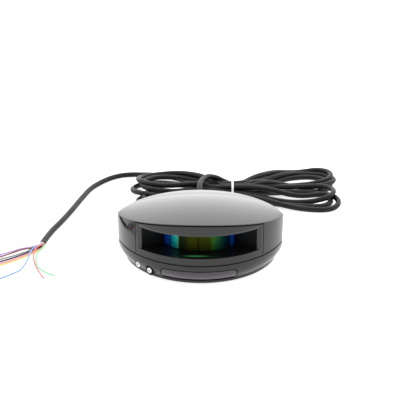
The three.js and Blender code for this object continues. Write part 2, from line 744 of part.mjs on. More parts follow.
// Wires: colour, where each starts in the jacket's end (across, height), and its route over the floor.
// They leave in three layers, so that those that cross pass over each other.
const JACKET_END = { x: -125.2, y: 20.1, across: new THREE.Vector2(0.992, -0.127) };
const LAYERS = [WIRE_Z, WIRE_Z + 1.35, WIRE_Z + 2.7];
const WIRES = [
  {
    name: "wire_yellow", color: 0xf2c63a, across: 1.95, layer: 0,
    route: [[-125.8, 13.5], [-132.6, 4.6], [-141.6, -5.2], [-151.2, -13.2], [-163, -20], [-174, -24.5]],
  },
  {
    name: "wire_pink", color: 0xe9a0c4, across: 0.65, layer: 0,
    route: [[-127.6, 14], [-134, 5.6], [-142.4, -3], [-152, -10.3], [-164, -16.6], [-176, -20.5]],
  },
  {
    name: "wire_black", color: 0x1a1a1a, across: -0.65, layer: 0,
    route: [[-129.4, 14.6], [-135.6, 7.2], [-144, -0.6], [-153, -7.2], [-165, -12.8], [-177, -16]],
  },
  {
    name: "wire_grey", color: 0x9b9b9b, across: -1.95, layer: 0,
    route: [[-131, 15.4], [-137.4, 8.8], [-145.6, 2.2], [-154, -3.4], [-166, -8.6], [-177, -11.5]],
  },
  {
    name: "wire_brown", color: 0x8a4b2c, across: -0.65, layer: 1,
    route: [[-128.6, 15], [-139, 11], [-147, 5.4], [-155, 0.6], [-166, -4], [-176, -7]],
  },
  {
    name: "wire_purple", color: 0x7d4fc0, across: -1.95, layer: 1,
    route: [[-130.2, 15.6], [-139.6, 13], [-147.6, 8.4], [-156, 4], [-166, 0.4], [-175, -2]],
  },
  {
    name: "wire_white", color: 0xf2f2f2, across: -1.3, layer: 2,
    route: [[-130, 15.4], [-139, 15], [-148, 12.6], [-157, 8.6], [-166, 5.4], [-174, 3]],
  },
  {
    name: "wire_blue", color: 0x2f62d8, across: 0, layer: 2,
    route: [[-129.2, 13.4], [-131.2, 5.6], [-131.6, -6.4], [-134.5, -20.4], [-140.2, -28], [-147, -34.6]],
  },
  {
    name: "wire_red", color: 0xd8342e, across: 1.3, layer: 2,
    route: [[-127.4, 13.2], [-128.5, 5.4], [-127.2, -5], [-123.2, -16.6], [-119, -25.6], [-114.8, -34]],
  },
  {
    name: "wire_green", color: 0x2fae5a, across: 1.95, layer: 1,
    route: [[-124, 13], [-126.3, 4.6], [-125.2, -6], [-121.2, -17], [-115, -24.4], [-107.6, -29.8]],
  },
];

// A wire leaves its layer and comes down to the floor over the first part of its route.
function wireRoute({ across, layer, route }) {
  const aside = JACKET_END.across;
  const start = [JACKET_END.x + across * aside.x, JACKET_END.y + across * aside.y];
  const straight = [start[0] + 2 * aside.y, start[1] - 2 * aside.x];
  const height = LAYERS[layer];
  const drop = [height, height, height, height, WIRE_Z + (height - WIRE_Z) * 0.55];
  return [start, straight, ...route].map(([x, y], i) => swung([x, y, drop[i] ?? WIRE_Z]));
}

// ---------- the assembly ----------

const group = new THREE.Group();

function piece(name, made, look) {
  const mesh = new THREE.Mesh(geometryOf(made), look);
  mesh.name = name;
  group.add(mesh);
}

function addBase() {
  piece("base_plate", basePlate(), SATIN_BLACK);
  piece("swivel_retainer", swivelRetainer(), STEEL);
  for (let i = 0; i < 3; i++) piece(`retainer_screw_${i + 1}`, retainerScrew(i), STEEL);
}

function addHousing() {
  piece("bottom_housing", bottomHousing(), GLOSS_BLACK);
  piece("housing_seal", housingSeal(), RUBBER);
  piece("top_cover", topCover(), GLOSS_BLACK);
  piece("front_bezel", frontBezel(), GLOSS_BLACK);
  piece("scan_recess", scanRecess(), RECESS_BLACK);
  piece("laser_window", laserWindow(), WINDOW_DARK);
  piece("signal_window", signalWindow(), SIGNAL_PURPLE);
  piece("led_board", ledBoard(), BOARD);
  HOUSING_SCREWS.forEach((place, i) => piece(`housing_screw_${i + 1}`, housingScrew(place), STEEL));
  piece("lock_screw", turnScrew(LOCK), CHROME);
  piece("adjust_screw", turnScrew(ADJUST), CHROME);
}

function addScanner() {
  piece("motor_board", motorBoard(), BOARD);
  piece("motor_stator", motorStator(), COPPER);
  piece("bearing_lower", bearing(9.8), STEEL);
  piece("bearing_upper", bearing(13.8), STEEL);
  piece("motor_rotor", motorRotor(), ALUMINIUM);
  piece("motor_shaft", motorShaft(), STEEL);
  piece("mirror_hub", mirrorHub(), ALUMINIUM);
  MIRROR_TILTS.forEach((_, i) => piece(`mirror_facet_${i + 1}`, mirrorFacet(i), MIRROR_FACE));
  piece("encoder_disc", encoderDisc(), STEEL);
}

function addOptics() {
  piece("optical_chassis", opticalChassis(), ALUMINIUM);
  piece("optics_bracket", opticsBracket(), ALUMINIUM);
  piece("receiver_barrel", barrel(RECEIVER), ALUMINIUM);
  piece("receiver_lens", barrelLens(RECEIVER), GLASS);
  piece("receiver_board", sensorBoard(RECEIVER), BOARD);
  piece("emitter_barrel", barrel(EMITTER), ALUMINIUM);
  piece("emitter_lens", barrelLens(EMITTER), GLASS);
  piece("emitter_board", sensorBoard(EMITTER), BOARD);
  piece("main_board", mainBoard(), BOARD);
  piece("board_connector", boardConnector(), IVORY);
}

function addCable() {
  piece("gland_body", glandBody(), SATIN_BLACK);
  piece("gland_lock_nut", glandLockNut(), SATIN_BLACK);
  piece("strain_relief", strainRelief(), RUBBER);
  piece("cable_lead", tube(LEAD_ROUTE, CORD, 12), JACKET);
  piece("cable_hank", cableHank(), JACKET);
  piece("cable_tie", cableTie(), TIE);
  piece("cable_tail", tube(TAIL_ROUTE.map(swung), CORD, 22), JACKET);
  for (const wire of WIRES) piece(wire.name, tube(wireRoute(wire), WIRE, 9), material(wire.color, 0.5));
}

addBase();
addHousing();
addScanner();
addOptics();
addCable();

export default group;
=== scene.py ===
"""Looks of the lidar scanner module: glossy lens-shaped housing, coated window and a bundled cable.

Lengths inside the functions are millimetres in the row's frame; MM turns them into Blender's metres.
"""

import json
import math

import bmesh
import bpy
import numpy as np
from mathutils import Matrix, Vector


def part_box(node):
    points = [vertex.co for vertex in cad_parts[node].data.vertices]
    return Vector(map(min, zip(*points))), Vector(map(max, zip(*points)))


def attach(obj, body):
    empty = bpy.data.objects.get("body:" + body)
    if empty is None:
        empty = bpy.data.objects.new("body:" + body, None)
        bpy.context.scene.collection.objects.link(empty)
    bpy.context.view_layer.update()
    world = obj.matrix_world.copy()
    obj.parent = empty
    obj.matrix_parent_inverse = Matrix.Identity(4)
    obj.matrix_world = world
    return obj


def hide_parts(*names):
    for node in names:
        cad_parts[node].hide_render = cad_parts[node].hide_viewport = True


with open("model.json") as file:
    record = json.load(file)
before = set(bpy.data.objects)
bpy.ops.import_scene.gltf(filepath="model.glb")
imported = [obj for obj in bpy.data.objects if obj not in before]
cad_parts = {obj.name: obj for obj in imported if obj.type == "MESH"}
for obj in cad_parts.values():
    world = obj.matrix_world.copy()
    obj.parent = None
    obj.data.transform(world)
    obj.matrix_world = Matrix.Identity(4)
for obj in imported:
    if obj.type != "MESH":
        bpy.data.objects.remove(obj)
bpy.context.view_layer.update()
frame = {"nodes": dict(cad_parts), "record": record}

MM = 0.001


def node_box(node):
    """The node's lowest and highest corners in millimetres."""
    low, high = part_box(node)
    return Vector(low) / MM, Vector(high) / MM


# ---------- driving dimensions, read from the frame ----------

COVER_LOW, COVER_HIGH = node_box("top_cover")
HOUSING_LOW, _ = node_box("bottom_housing")
_, PLATE_HIGH = node_box("base_plate")
BEZEL_LOW, BEZEL_HIGH = node_box("front_bezel")
PANE_LOW, PANE_HIGH = node_box("laser_window")
RECESS_LOW, RECESS_HIGH = node_box("scan_recess")
SIGNAL_LOW, SIGNAL_HIGH = node_box("signal_window")
SEAL_LOW, SEAL_HIGH = node_box("housing_seal")
HALF_LENGTH = COVER_HIGH.x
HALF_WIDTH = COVER_HIGH.y
TIP_RADIUS = 5
WALL = 2.5
REAR_EDGE = 38.2
CREST = 10.6
CROWN = 4
FLARE = (5.5, 4.1, 2.6)  # skirt draw-in along X, along Y, and the power of its curve
HOUSING_TOP = 16.1
HOUSING_FLOOR = 5.4
FOOT = 3.9  # below this height the skirt is upright
WELL = (54.9, 40.2)  # hollow of the foot that the base plate turns in
PLATE_TOP = 3
LIP = 0.4
LIP_GAP = 0.95
BEZEL_DEPTH = 2.9
SEAM = 0.3
OPENING = (41.6, 22.8, 39.5)  # half width, low and high edge
OPENING_FLARE = 44.8  # half width at the front face
SPIN_Y = -2
PANE_OUTER = 31.4
PANE_INNER = 30
PANE_ANGLE = math.radians(57)
LOCK = (-45.4, 7.2)  # x and height of each turned screw on the skirt
ADJUST = (-35.8, 6.8)
CORD = 4.8
CORD_Z = CORD / 2 + 0.05
WIRE = 1.2
WIRE_Z = WIRE / 2 + 0.15
EXIT = (0, 74.3, 11)


# ---------- camera, floor and light ----------

CAMERA_TILT = math.radians(22.74)
CAMERA_TURN = math.radians(1.5)
GLINT_PLACE = (-2, -40.4, 22)  # painted green reflection of the pane, glowing on the tray's floor: its middle and how far it fades
GLINT_REACH = (13, 1.9, 2)
GLINT_STRENGTH = 0.16
CAMERA_DISTANCE = 0.6256
CAMERA_TARGET = Vector((-0.0002, 0, 0.0487))


def add_camera():
    data = bpy.data.cameras.new("camera")
    data.sensor_width = 36
    data.lens = 75.28
    data.clip_start = 0.01
    camera = bpy.data.objects.new("camera", data)
    level = math.cos(CAMERA_TILT)
    back = Vector((level * math.sin(CAMERA_TURN), -level * math.cos(CAMERA_TURN), math.sin(CAMERA_TILT)))
    camera.location = CAMERA_TARGET + CAMERA_DISTANCE * back
    camera.rotation_euler = (math.pi / 2 - CAMERA_TILT, 0, CAMERA_TURN)
    bpy.context.scene.collection.objects.link(camera)
    bpy.context.scene.camera = camera


TENT_FRONT = 1.35
TENT_BACK = 3.0


def add_world():
    """A white tent: brightest behind and above the object, a little darker on the camera's side."""
    world = bpy.data.worlds.new("tent")
    world.use_nodes = True
    tree = world.node_tree
    nodes = tree.nodes
    nodes.clear()
    place = nodes.new("ShaderNodeTexCoord")
    split = nodes.new("ShaderNodeSeparateXYZ")
    ramp = nodes.new("ShaderNodeMapRange")
    ramp.inputs["From Min"].default_value = -0.7
    ramp.inputs["From Max"].default_value = 0.5
    ramp.inputs["To Min"].default_value = TENT_FRONT
    ramp.inputs["To Max"].default_value = TENT_BACK
    shade = nodes.new("ShaderNodeBackground")
    out = nodes.new("ShaderNodeOutputWorld")
    tree.links.new(place.outputs["Generated"], split.inputs["Vector"])
    tree.links.new(split.outputs["Y"], ramp.inputs["Value"])
    tree.links.new(ramp.outputs["Result"], shade.inputs["Strength"])
    tree.links.new(shade.outputs["Background"], out.inputs["Surface"])
    bpy.context.scene.world = world
    bpy.context.scene.view_settings.view_transform = "Standard"


def add_floor():
    mesh = bpy.data.meshes.new("floor")
    half = 3.0
    corners = [(-half, -half, 0), (half, -half, 0), (half, half, 0), (-half, half, 0)]
    mesh.from_pydata(corners, [], [(0, 1, 2, 3)])
    floor = bpy.data.objects.new("floor", mesh)
    bpy.context.scene.collection.objects.link(floor)
    finish = bpy.data.materials.new("floor_white")
    finish.use_nodes = True
    shader = finish.node_tree.nodes["Principled BSDF"]
    shader.inputs["Base Color"].default_value = (0.5, 0.5, 0.5, 1)
    shader.inputs["Roughness"].default_value = 0.7
    shader.inputs["Emission Color"].default_value = (1, 1, 1, 1)
    shader.inputs["Emission Strength"].default_value = 0.75
    mesh.materials.append(finish)


# ---------- materials ----------

def new_material(name):
    made = bpy.data.materials.new(name)
    made.use_nodes = True
    tree = made.node_tree
    return made, tree, tree.nodes["Principled BSDF"]


def noise(tree, scale, detail=4, stretch=None):
    """Object-space noise, optionally stretched along an axis."""
    place = tree.nodes.new("ShaderNodeTexCoord")
    texture = tree.nodes.new("ShaderNodeTexNoise")
    texture.inputs["Scale"].default_value = scale
    texture.inputs["Detail"].default_value = detail
    source = place.outputs["Object"]
    if stretch:
        mapping = tree.nodes.new("ShaderNodeMapping")
        mapping.inputs["Scale"].default_value = stretch
        tree.links.new(source, mapping.inputs["Vector"])
        source = mapping.outputs["Vector"]
    tree.links.new(source, texture.inputs["Vector"])
    return texture.outputs["Fac"]


def vary(tree, shader, socket, source, low, high):
    spread = tree.nodes.new("ShaderNodeMapRange")
    spread.inputs["From Min"].default_value = 0.3
    spread.inputs["From Max"].default_value = 0.7
    spread.inputs["To Min"].default_value = low
    spread.inputs["To Max"].default_value = high
    tree.links.new(source, spread.inputs["Value"])
    tree.links.new(spread.outputs["Result"], shader.inputs[socket])


def blend_colours(tree, shader, source, dark, light):
    mix = tree.nodes.new("ShaderNodeMix")
    mix.data_type = "RGBA"
    mix.inputs[6].default_value = (*dark, 1)
    mix.inputs[7].default_value = (*light, 1)
    tree.links.new(source, mix.inputs[0])
    tree.links.new(mix.outputs[2], shader.inputs["Base Color"])


def bump(tree, shader, source, strength, distance):
    node = tree.nodes.new("ShaderNodeBump")
    node.inputs["Strength"].default_value = strength
    node.inputs["Distance"].default_value = distance
    tree.links.new(source, node.inputs["Height"])
    tree.links.new(node.outputs["Normal"], shader.inputs["Normal"])


def moulded(name, dark, light, rough, grain=900, relief=0.0, depth=0.00002):
    """Moulded plastic or rubber: slight colour and gloss drift, and a fine surface grain."""
    made, tree, shader = new_material(name)
    blend_colours(tree, shader, noise(tree, 60), dark, light)
    vary(tree, shader, "Roughness", noise(tree, 140, 6), *rough)
    if relief:
        bump(tree, shader, noise(tree, grain, 3), relief, depth)
    return made


def metal(name, colour, rough, stretch=(1, 1, 18), grain=500):
    made, tree, shader = new_material(name)
    darker = tuple(0.86 * c for c in colour)
    blend_colours(tree, shader, noise(tree, grain, 4, stretch), darker, colour)
    vary(tree, shader, "Roughness", noise(tree, grain, 5, stretch), *rough)
    shader.inputs["Metallic"].default_value = 1
    return made


def gloss_black():
    made = moulded("gloss_black", (0.0035, 0.0035, 0.004), (0.006, 0.006, 0.0065), (0.055, 0.1), 420, 0.05)
    return made


def coated_window():
    """Interference-coated pane: blue at the ends, teal and green between, dark olive in the middle; the bands
    are the coating's tint with its reflections painted in, set by the angle round the pane.
    """
    made, tree, shader = new_material("coated_window")
    nodes = tree.nodes
    place = nodes.new("ShaderNodeTexCoord")
    split = nodes.new("ShaderNodeSeparateXYZ")
    tree.links.new(place.outputs["Object"], split.inputs["Vector"])
    depth = nodes.new("ShaderNodeMath")
    depth.operation = "SUBTRACT"
    depth.inputs[0].default_value = SPIN_Y * MM
    tree.links.new(split.outputs["Y"], depth.inputs[1])
    slope = nodes.new("ShaderNodeMath")
    slope.operation = "MULTIPLY_ADD"
    slope.inputs[1].default_value = 0.16
    tree.links.new(split.outputs["Z"], slope.inputs[0])
    tree.links.new(split.outputs["X"], slope.inputs[2])
    angle = nodes.new("ShaderNodeMath")
    angle.operation = "ARCTAN2"
    tree.links.new(split.outputs["X"], angle.inputs[0])
    tree.links.new(depth.outputs[0], angle.inputs[1])
    share = nodes.new("ShaderNodeMapRange")
    share.inputs["From Min"].default_value = -PANE_ANGLE
    share.inputs["From Max"].default_value = PANE_ANGLE
    tree.links.new(angle.outputs[0], share.inputs["Value"])
    ramp = nodes.new("ShaderNodeValToRGB")
    # Painted reflection together with the coating's tint: the bands and dark lines copy how the pane reflects
    # when seen from the front, fixed to the angle round the pane.
    tint_and_reflection_stops = [
        (-57, (0.002, 0.10, 0.75)),
        (-50, (0.002, 0.16, 0.95)),
        (-45, (0.001, 0.12, 0.60)),
        (-42.5, (0.001, 0.03, 0.12)),
        (-40.5, (0.004, 0.25, 0.38)),
        (-34, (0.010, 0.42, 0.42)),
        (-28.6, (0.06, 0.36, 0.16)),
        (-28.2, (0.010, 0.016, 0.008)),
        (-17, (0.014, 0.022, 0.005)),
        (-14, (0.028, 0.038, 0.003)),
        (-3, (0.032, 0.034, 0.003)),
        (-1, (0.010, 0.010, 0.002)),
        (1, (0.028, 0.031, 0.003)),
        (14, (0.028, 0.040, 0.003)),
        (19, (0.032, 0.110, 0.012)),
        (25, (0.012, 0.080, 0.030)),
        (36, (0.002, 0.022, 0.030)),
        (45, (0.001, 0.010, 0.040)),
        (47, (0.001, 0.11, 0.65)),
        (50, (0.002, 0.16, 0.95)),
        (57, (0.001, 0.03, 0.30)),
    ]
    scale = math.degrees(PANE_ANGLE)
    for index, (degrees, colour) in enumerate(tint_and_reflection_stops):
        position = (degrees + scale) / (2 * scale)
        mark = ramp.color_ramp.elements[index] if index < 2 else ramp.color_ramp.elements.new(position)
        mark.position = position
        mark.color = (*colour, 1)
    tree.links.new(share.outputs["Result"], ramp.inputs["Fac"])
    tree.links.new(ramp.outputs["Color"], shader.inputs["Base Color"])
    shader.inputs["Metallic"].default_value = 1
    shader.inputs["Roughness"].default_value = 0.5
    return made


def tinted_window():
    made, tree, shader = new_material("signal_tint")
    blend_colours(tree, shader, noise(tree, 45, 2), (0.008, 0.003, 0.010), (0.022, 0.010, 0.025))
    vary(tree, shader, "Roughness", noise(tree, 200, 3), 0.06, 0.12)
    shader.inputs["Coat Weight"].default_value = 0.5
    shader.inputs["Coat Roughness"].default_value = 0.05
    return made


def recess_black():
    """Matt black tray, with a painted green reflection of the pane glowing near its front edge."""
    made = moulded("recess_black", (0.002, 0.002, 0.0022), (0.0035, 0.0035, 0.004), (0.42, 0.55), 500, 0.04)
    tree = made.node_tree
    nodes = tree.nodes
    shader = nodes["Principled BSDF"]
    shader.inputs["Specular IOR Level"].default_value = 0.2
    place = nodes.new("ShaderNodeTexCoord")
    spot = nodes.new("ShaderNodeMapping")
    spot.vector_type = "TEXTURE"
    spot.inputs["Location"].default_value = tuple(v * MM for v in GLINT_PLACE)
    spot.inputs["Scale"].default_value = tuple(v * MM for v in GLINT_REACH)
    distance = nodes.new("ShaderNodeVectorMath")
    distance.operation = "LENGTH"
    fade = nodes.new("ShaderNodeMapRange")
    fade.interpolation_type = "SMOOTHSTEP"
    fade.inputs["To Min"].default_value = GLINT_STRENGTH
    fade.inputs["To Max"].default_value = 0
    tree.links.new(place.outputs["Object"], spot.inputs["Vector"])
    tree.links.new(spot.outputs["Vector"], distance.inputs[0])
    tree.links.new(distance.outputs["Value"], fade.inputs["Value"])
    # Painted reflection: the tray's emission draws the pane's green glint, though the tray is no lamp.
    tree.links.new(fade.outputs["Result"], shader.inputs["Emission Strength"])
    shader.inputs["Emission Color"].default_value = (0.12, 1, 0.3, 1)
    return made


def cable_jacket():
    dark, light = (0.0016, 0.0016, 0.0018), (0.0034, 0.0034, 0.0038)
    made = moulded("cable_jacket", dark, light, (0.42, 0.52), 1800, 0.25, 0.00004)
    made.node_tree.nodes["Principled BSDF"].inputs["Specular IOR Level"].default_value = 0.26
    return made


def insulation(name, colour):
    darker = tuple(0.8 * c for c in colour)
    return moulded(name, darker, colour, (0.35, 0.5), 2500, 0.1)


def board_material():
    made, tree, shader = new_material("board_green")
    blend_colours(tree, shader, noise(tree, 900, 2), (0.008, 0.08, 0.03), (0.02, 0.16, 0.07))
    vary(tree, shader, "Roughness", noise(tree, 400), 0.35, 0.5)
    return made


def lens_material():
    made, tree, shader = new_material("lens_glass")
    blend_colours(tree, shader, noise(tree, 30, 1), (0.7, 0.82, 0.9), (0.85, 0.93, 0.95))
    vary(tree, shader, "Roughness", noise(tree, 120), 0.02, 0.05)
    shader.inputs["Transmission Weight"].default_value = 1
    return made


WIRE_COLOURS = {
    "wire_yellow": (0.90, 0.58, 0.12),
    "wire_pink": (0.78, 0.30, 0.52),
    "wire_black": (0.012, 0.012, 0.012),
    "wire_grey": (0.30, 0.30, 0.31),
    "wire_brown": (0.25, 0.07, 0.03),
    "wire_purple": (0.42, 0.30, 0.72),
    "wire_white": (0.82, 0.82, 0.82),
    "wire_blue": (0.20, 0.36, 0.80),
    "wire_red": (0.82, 0.16, 0.13),
    "wire_green": (0.24, 0.66, 0.36),
}


def make_materials():
    made = {
        "gloss_black": gloss_black(),
        "base_black": moulded(
            "base_black", (0.006, 0.006, 0.006), (0.011, 0.011, 0.011), (0.3, 0.42), 1500, 0.2),
        "recess_black": recess_black(),
        "scan_glass": coated_window(),
        "signal_tint": tinted_window(),
        "seal_rubber": moulded(
            "seal_rubber", (0.004, 0.004, 0.004), (0.008, 0.008, 0.008), (0.55, 0.7), 1800, 0.3),
        "steel": metal("steel", (0.56, 0.57, 0.58), (0.2, 0.34)),
        "screw_chrome": metal("screw_chrome", (0.82, 0.83, 0.85), (0.06, 0.14)),
        "mirror_face": metal("mirror_face", (0.93, 0.94, 0.95), (0.01, 0.03)),
        "aluminium": metal("aluminium", (0.62, 0.63, 0.64), (0.25, 0.4)),
        "coil_copper": metal("coil_copper", (0.62, 0.30, 0.14), (0.25, 0.4), (30, 30, 1)),
        "board_green": board_material(),
        "connector_ivory": moulded(
            "connector_ivory", (0.70, 0.66, 0.56), (0.80, 0.76, 0.66), (0.4, 0.5), 1200, 0.1),
        "lens_glass": lens_material(),
        "cable_jacket": cable_jacket(),
        "tie_white": moulded("tie_white", (0.55, 0.55, 0.54), (0.68, 0.68, 0.67), (0.4, 0.55), 1500, 0.2),
    }
    for name, colour in WIRE_COLOURS.items():
        made[name] = insulation(name, colour)
    return made


# ---------- mesh building ----------

SMOOTH_ANGLE = math.radians(32)


def finish_shading(obj):
    mesh = obj.data
    mesh.polygons.foreach_set("use_smooth", [True] * len(mesh.polygons))
    mesh.set_sharp_from_angle(angle=SMOOTH_ANGLE)


def mesh_object(name, points, faces):
    """A closed mesh from millimetre points, with shared corners merged and faces turned outwards."""
    mesh = bpy.data.meshes.new(name)
    bm = bmesh.new()
    corners = [bm.verts.new((x * MM, y * MM, z * MM)) for x, y, z in points]
    for face in faces:
        try:
            bm.faces.new([corners[i] for i in face])
        except ValueError:
            continue
    bmesh.ops.remove_doubles(bm, verts=bm.verts, dist=2e-6)
    bmesh.ops.dissolve_degenerate(bm, edges=bm.edges, dist=1e-7)
    bmesh.ops.recalc_face_normals(bm, faces=bm.faces)
    bm.to_mesh(mesh)
    bm.free()
    obj = bpy.data.objects.new(name, mesh)
    bpy.context.scene.collection.objects.link(obj)
    finish_shading(obj)
    return obj


def loft(name, rings, caps=True, closed=False):
    """Joins rings of equally many points; closed carries the last ring back to the first."""
    count = len(rings[0])
    points = [p for ring in rings for p in ring]
    faces = []
    levels = len(rings)
    for k in range(levels if closed else levels - 1):
        for i in range(count):
            j = (i + 1) % count
            low, high = k * count, ((k + 1) % levels) * count
            faces.append((low + i, low + j, high + j, high + i))
    if caps and not closed:
        faces.append(tuple(range(count)))
        faces.append(tuple(reversed(range((levels - 1) * count, levels * count))))
    return mesh_object(name, points, faces)


def carve(obj, *tools, operation="DIFFERENCE"):
    """Boolean cut or join with the tools, which are used up."""
    for tool in tools:
        step = obj.modifiers.new("carve", "BOOLEAN")
        step.operation = operation
        step.solver = "EXACT"
        step.object = tool
    graph = bpy.context.evaluated_depsgraph_get()
    made = bpy.data.meshes.new_from_object(obj.evaluated_get(graph))
    obj.modifiers.clear()
    obj.data = made
    for tool in tools:
        bpy.data.objects.remove(tool, do_unlink=True)
    finish_shading(obj)
    return obj


def soften(obj, width, angle=50, segments=2):
    """Rounds the sharp edges over."""
    step = obj.modifiers.new("soften", "BEVEL")
    step.width = width * MM
    step.segments = segments
    step.limit_method = "ANGLE"
    step.angle_limit = math.radians(angle)
    step.harden_normals = False
    step.use_clamp_overlap = True
    graph = bpy.context.evaluated_depsgraph_get()
    made = bpy.data.meshes.new_from_object(obj.evaluated_get(graph))
    obj.modifiers.clear()
    obj.data = made
    finish_shading(obj)
    return obj


def rounded_rectangle(half_a, half_b, radius, steps=6):
    """Corner-rounded outline as (a, b) points, anticlockwise."""
    points = []
    for turn, (sa, sb) in enumerate([(1, -1), (1, 1), (-1, 1), (-1, -1)]):
        for i in range(steps + 1):
            angle = (turn - 1) * math.pi / 2 + i * math.pi / (2 * steps)
            a = sa * (half_a - radius) + radius * math.cos(angle)
            b = sb * (half_b - radius) + radius * math.sin(angle)
            points.append((a, b))
    return points


class Axis:
    """A line in space with two directions across it, for turned pieces."""

    def __init__(self, origin, direction):
        self.origin = Vector(origin)
        self.along = Vector(direction).normalized()
        helper = Vector((0, 0, 1)) if abs(self.along.z) < 0.9 else Vector((1, 0, 0))
        self.side = helper.cross(self.along).normalized()
        self.up = self.along.cross(self.side)

    def at(self, radius, angle, height):
        across = self.side * math.cos(angle) + self.up * math.sin(angle)
        return tuple(self.origin + radius * across + height * self.along)


def hexagon(radius, angle):
    """Radius of a hexagon, radius to its corners, at an angle."""
    sixth = math.pi / 3
    return radius * math.cos(sixth / 2) / math.cos((angle % sixth) - sixth / 2)


def turn_piece(name, axis, profile, sides=48):
    """Turned piece from (radius, height, outline) steps, outline being 'round' or 'hex'."""
    rings = []
    for radius, height, outline in profile:
        ring = []
        for i in range(sides):
            angle = 2 * math.pi * i / sides
            r = hexagon(radius, angle) if outline == "hex" else radius
            ring.append(axis.at(r, angle, height))
        rings.append(ring)
    return loft(name, rings)


# ---------- the lens outline and the roof ----------

class Lens:
    """Two long arcs that meet in rounded tips."""

    def __init__(self, half_length, half_width, tip):
        self.half_length = half_length
        self.tip = tip
        self.run = half_length - tip
        total = self.run**2 + half_width**2 - tip**2
        self.radius = total / (2 * (half_width - tip))
        self.centre = self.radius - half_width
        self.joint = self.run * self.radius / (self.radius - tip)

    def reach(self, x):
        a = min(abs(x), self.half_length)
        if a <= self.joint:
            return math.sqrt(self.radius**2 - a * a) - self.centre
        return math.sqrt(max(0, self.tip**2 - (a - self.run) ** 2))

    def depth(self, x, y):
        """How far a point lies inside the outline."""
        across, away = abs(x) - self.run, abs(y)
        joint_slope = self.centre * self.tip / (self.radius - self.tip) / (self.joint - self.run)
        if across > 0 and away <= across * joint_slope:
            return self.tip - math.hypot(across, away)
        return self.radius - math.hypot(x, away + self.centre)

    def xs(self, stations):
        return [-self.half_length * math.cos(math.pi * i / stations) for i in range(stations + 1)]

    def ring(self, z, stations=110):
        xs = self.xs(stations)
        front = [(x, -self.reach(x), z) for x in xs]
        rear = [(x, self.reach(x), z) for x in reversed(xs[1:-1])]
        return front + rear


OUTLINE = Lens(HALF_LENGTH, HALF_WIDTH, TIP_RADIUS)


def inset(distance):
    return Lens(HALF_LENGTH - distance, HALF_WIDTH - distance, max(1, TIP_RADIUS - distance))


def roof(x, y):
    taper = 1 - (x / HALF_LENGTH) ** 2
    reach = OUTLINE.reach(x)
    t = min(1, max(0, (y + reach) / (2 * reach))) if reach > 0 else 0.5
    return REAR_EDGE + CREST * taper * (1 - t) + 4 * CROWN * taper * t * (1 - t)


def skirt(z, distance=0):
    share = min(1, max(0, (HOUSING_TOP - z) / (HOUSING_TOP - FOOT)))
    draw = share ** FLARE[2]
    return Lens(HALF_LENGTH - FLARE[0] * draw - distance, HALF_WIDTH - FLARE[1] * draw - distance, TIP_RADIUS)


def edge_round(depth, radius):
    """How far a rounded edge lies below the surface at a depth from the rim."""
    if depth >= radius:
        return 0
    return radius - math.sqrt(max(0, radius**2 - (radius - max(0, depth)) ** 2))


def crowned_body(name, outline, low, drop, rim, stations=96, across=56):
    """A lens-shaped body whose roof lies drop below the cover's, with rounded rims."""
    xs = outline.xs(stations)
    shares = [0.5 * (1 - math.cos(math.pi * j / across)) for j in range(across + 1)]
    points, faces = [], []
    width = across + 1
    for x in xs:
        reach = outline.reach(x)
        for share in shares:
            y = reach * (2 * share - 1)
            radius = rim[0] if y < 0 else rim[1]
            points.append((x, y, roof(x, y) - drop - edge_round(outline.depth(x, y), radius)))
    levels = [(0.35, 0), (0, 0.35)]  # height above the foot and inset of the last two rings
    for i in range(stations):
        for j in range(across):
            a = i * width + j
            faces.append((a, a + width, a + width + 1, a + 1))
    rim_loop = [i * width for i in range(stations + 1)]
    rim_loop += [i * width + across for i in range(stations - 1, 0, -1)]
    previous = rim_loop
    for height, distance in levels:
        shape = Lens(outline.half_length - distance, outline.radius - outline.centre - distance, outline.tip)
        start = len(points)
        points.extend(shape.ring(low + height, stations))
        current = list(range(start, len(points)))
        for i in range(len(current)):
            j = (i + 1) % len(current)
            faces.append((previous[i], previous[j], current[j], current[i]))
        previous = current
    faces.append(tuple(previous))
    return mesh_object(name, points, faces)


def front_wall(x, depth, outline=OUTLINE):
    """The front wall's y at x, at a depth measured towards the arc's centre."""
    radius = outline.radius - depth
    return outline.centre - math.sqrt(radius**2 - x * x)


def span(low, high, steps):
    return [low + (high - low) * i / steps for i in range(steps + 1)]


# ---------- housing pieces ----------

RIM_FRONT = 0.5
RIM_REAR = 1.0


def pocket_tool():
    """What the bezel's pocket takes out of the cover, below the lip and in front of the bezel's back."""
    half = BEZEL_HIGH.x + SEAM
    rings = []
    for x in span(-half, half, 72):
        back = front_wall(x, BEZEL_DEPTH + SEAM)
        front = front_wall(x, -2)
        under = roof(x, back) - LIP
        rim = roof(x, front_wall(x, 0)) - LIP
        rings.append([(x, back, 10), (x, front, 10), (x, front, rim), (x, back, under)])
    return loft("pocket", rings)


def top_cover():
    cover = crowned_body("cover_shell", OUTLINE, COVER_LOW.z, 0, (RIM_FRONT, RIM_REAR))
    hollow = crowned_body("hollow", inset(WALL), 10, WALL, (0.1, 0.1), 48, 24)
    carve(cover, hollow, pocket_tool())
    soften(cover, 0.16, 60)
    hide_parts("top_cover")
    return cover, "head", "gloss_black"


def bezel_loop(half, low, high, depth, top=None):
    """Loop of points on the front wall round a rectangle, whose upper edge may follow the crest."""
    columns, rows = 72, 10
    upper = top if top else (lambda x: high)
    loop = [(x, low) for x in span(-half, half, columns)]
    loop += [(half, z) for z in span(low, upper(half), rows)[1:]]
    loop += [(x, upper(x)) for x in span(half, -half, columns)[1:]]
    loop += [(-half, z) for z in span(upper(-half), low, rows)[1:-1]]
    return [(x, front_wall(x, depth), z) for x, z in loop]


def between(loop_a, loop_b, share):
    mixed = []
    for a, b in zip(loop_a, loop_b):
        x = a[0] + (b[0] - a[0]) * share
        z = a[2] + (b[2] - a[2]) * share
        mixed.append((x, front_wall(x, 0), z))
    return mixed


